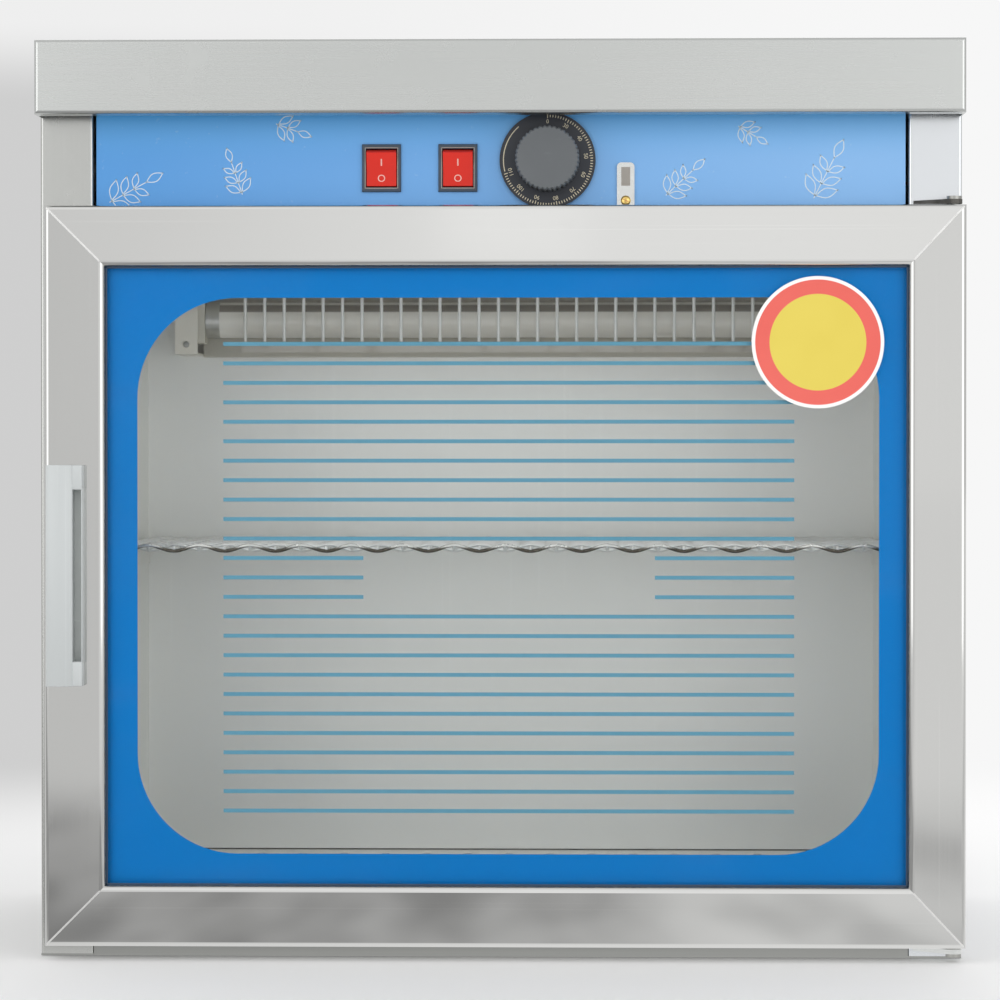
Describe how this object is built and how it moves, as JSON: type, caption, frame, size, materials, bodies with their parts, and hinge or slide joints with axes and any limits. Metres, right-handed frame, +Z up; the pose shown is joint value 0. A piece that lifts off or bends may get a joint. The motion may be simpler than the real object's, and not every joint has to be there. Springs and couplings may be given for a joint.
{
  "type": "chopstick sterilizer box",
  "caption": "Box-shaped stainless cabinet with a side-hung glass door, wire shelf, ultraviolet lamp, rocker switches and a heater dial, for drying and sterilizing chopsticks.",
  "frame": {"origin": "centre of the cabinet's underside, on the surface that it stands on", "axes": "+X to the right seen from the front, +Y to the rear, +Z up"},
  "size_m": [0.6005, 0.4055, 0.595],
  "materials": {
    "shell_steel": "satin stainless",
    "rear_steel": "galvanised sheet",
    "liner_steel": "satin stainless",
    "panel_blue": "semi-gloss light blue",
    "element_steel": "heat-darkened stainless",
    "zinc_steel": "zinc plated",
    "lamp_white": "ivory enamel",
    "white_plastic": "moulded",
    "tube_glass": "clear quartz glass",
    "cap_aluminium": "pressed",
    "bright_wire": "bright stainless wire",
    "ballast_grey": "grey enamel",
    "thermostat_case": "plated steel and moulded base",
    "copper_line": "drawn copper",
    "switch_black": "moulded, fine grain",
    "switch_red": "translucent red",
    "dial_black": "moulded, with pale numbers",
    "knob_grey": "moulded, fluted side",
    "switch_grey": "moulded",
    "bracket_bright": "bright pressed steel",
    "screw_brass": "bright",
    "door_steel": "polished stainless",
    "door_pane": "clear float glass",
    "seal_rubber": "silicone",
    "gasket_rubber": "grey silicone",
    "border_ink": "screen-printed blue",
    "stripe_ink": "screen-printed blue-grey",
    "label_film": "printed film",
    "handle_satin": "satin anodised"
  },
  "bodies": {
    "cabinet": {"base_pan": "shell_steel", "left_side_panel": "shell_steel", "right_side_panel": "shell_steel", "top_cap": "shell_steel", "header_rail": "shell_steel", "rear_panel": "rear_steel", "liner_left": "liner_steel", "liner_right": "liner_steel", "liner_back": "liner_steel", "chamber_ceiling": "liner_steel", "heater_cover": "liner_steel", "shelf_support_left": "liner_steel", "shelf_support_right": "liner_steel", "control_panel": "panel_blue", "heater_element": "element_steel", "heater_clips": "zinc_steel", "hinge_pins": "zinc_steel", "rear_panel_screws": "zinc_steel", "hinge_bracket_top": "zinc_steel", "hinge_bracket_bottom": "zinc_steel", "lamp_channel": "lamp_white", "lamp_end_covers": "lamp_white", "lampholders": "white_plastic", "starter": "white_plastic", "terminal_block": "white_plastic", "uv_tube": "tube_glass", "uv_tube_caps": "cap_aluminium", "lamp_guard_rails": "bright_wire", "lamp_guard_hoops": "bright_wire", "ballast": "ballast_grey", "thermostat_body": "thermostat_case", "capillary_sensor": "copper_line", "rocker_housing_left": "switch_black", "rocker_housing_right": "switch_black", "cord_gland": "switch_black", "door_switch_body": "switch_grey", "door_switch_bracket": "bracket_bright", "bracket_screw": "screw_brass"},
    "door": {"door_stile_left": "door_steel", "door_stile_right": "door_steel", "door_rail_top": "door_steel", "door_rail_bottom": "door_steel", "door_back_frame": "door_steel", "door_glass": "door_pane", "glass_seal": "seal_rubber", "glass_border_print": "border_ink", "glass_stripe_print": "stripe_ink", "door_gasket": "gasket_rubber", "door_handle": "handle_satin", "round_label": "label_film", "hinge_blocks": "white_plastic"},
    "shelf": {"shelf_frame": "bright_wire", "shelf_wires": "bright_wire"},
    "thermostat_knob": {"knob": "knob_grey", "dial_skirt": "dial_black", "thermostat_shaft": "zinc_steel"},
    "left_rocker": {"rocker_left": "switch_red"},
    "right_rocker": {"rocker_right": "switch_red"},
    "plunger": {"door_switch_plunger": "switch_black"}
  },
  "joints": [
    {"name": "door_swing", "type": "hinge", "parent": "cabinet", "child": "door", "pos_m": [0.2935, -0.1895, 0.24875], "axis": [0, 0, 1], "range_deg": [0, 120]},
    {"name": "shelf_lift", "type": "slide", "parent": "cabinet", "child": "shelf", "axis": [0, 0, 1], "range_m": [0, 0.06]},
    {"name": "dial_turn", "type": "hinge", "parent": "cabinet", "child": "thermostat_knob", "pos_m": [0.0311, -0.185, 0.5188], "axis": [0, 1, 0], "range_deg": [0, 300]},
    {"name": "left_rocker_tilt", "type": "hinge", "parent": "cabinet", "child": "left_rocker", "pos_m": [-0.0771, -0.171, 0.514], "axis": [-1, 0, 0], "range_deg": [0, 20]},
    {"name": "right_rocker_tilt", "type": "hinge", "parent": "cabinet", "child": "right_rocker", "pos_m": [-0.0273, -0.171, 0.514], "axis": [-1, 0, 0], "range_deg": [0, 20]},
    {"name": "plunger_press", "type": "slide", "parent": "cabinet", "child": "plunger", "axis": [0, 1, 0], "range_m": [0, 0.0015], "stiffness_N_per_m": 300, "springref_m": -0.003}
  ]
}
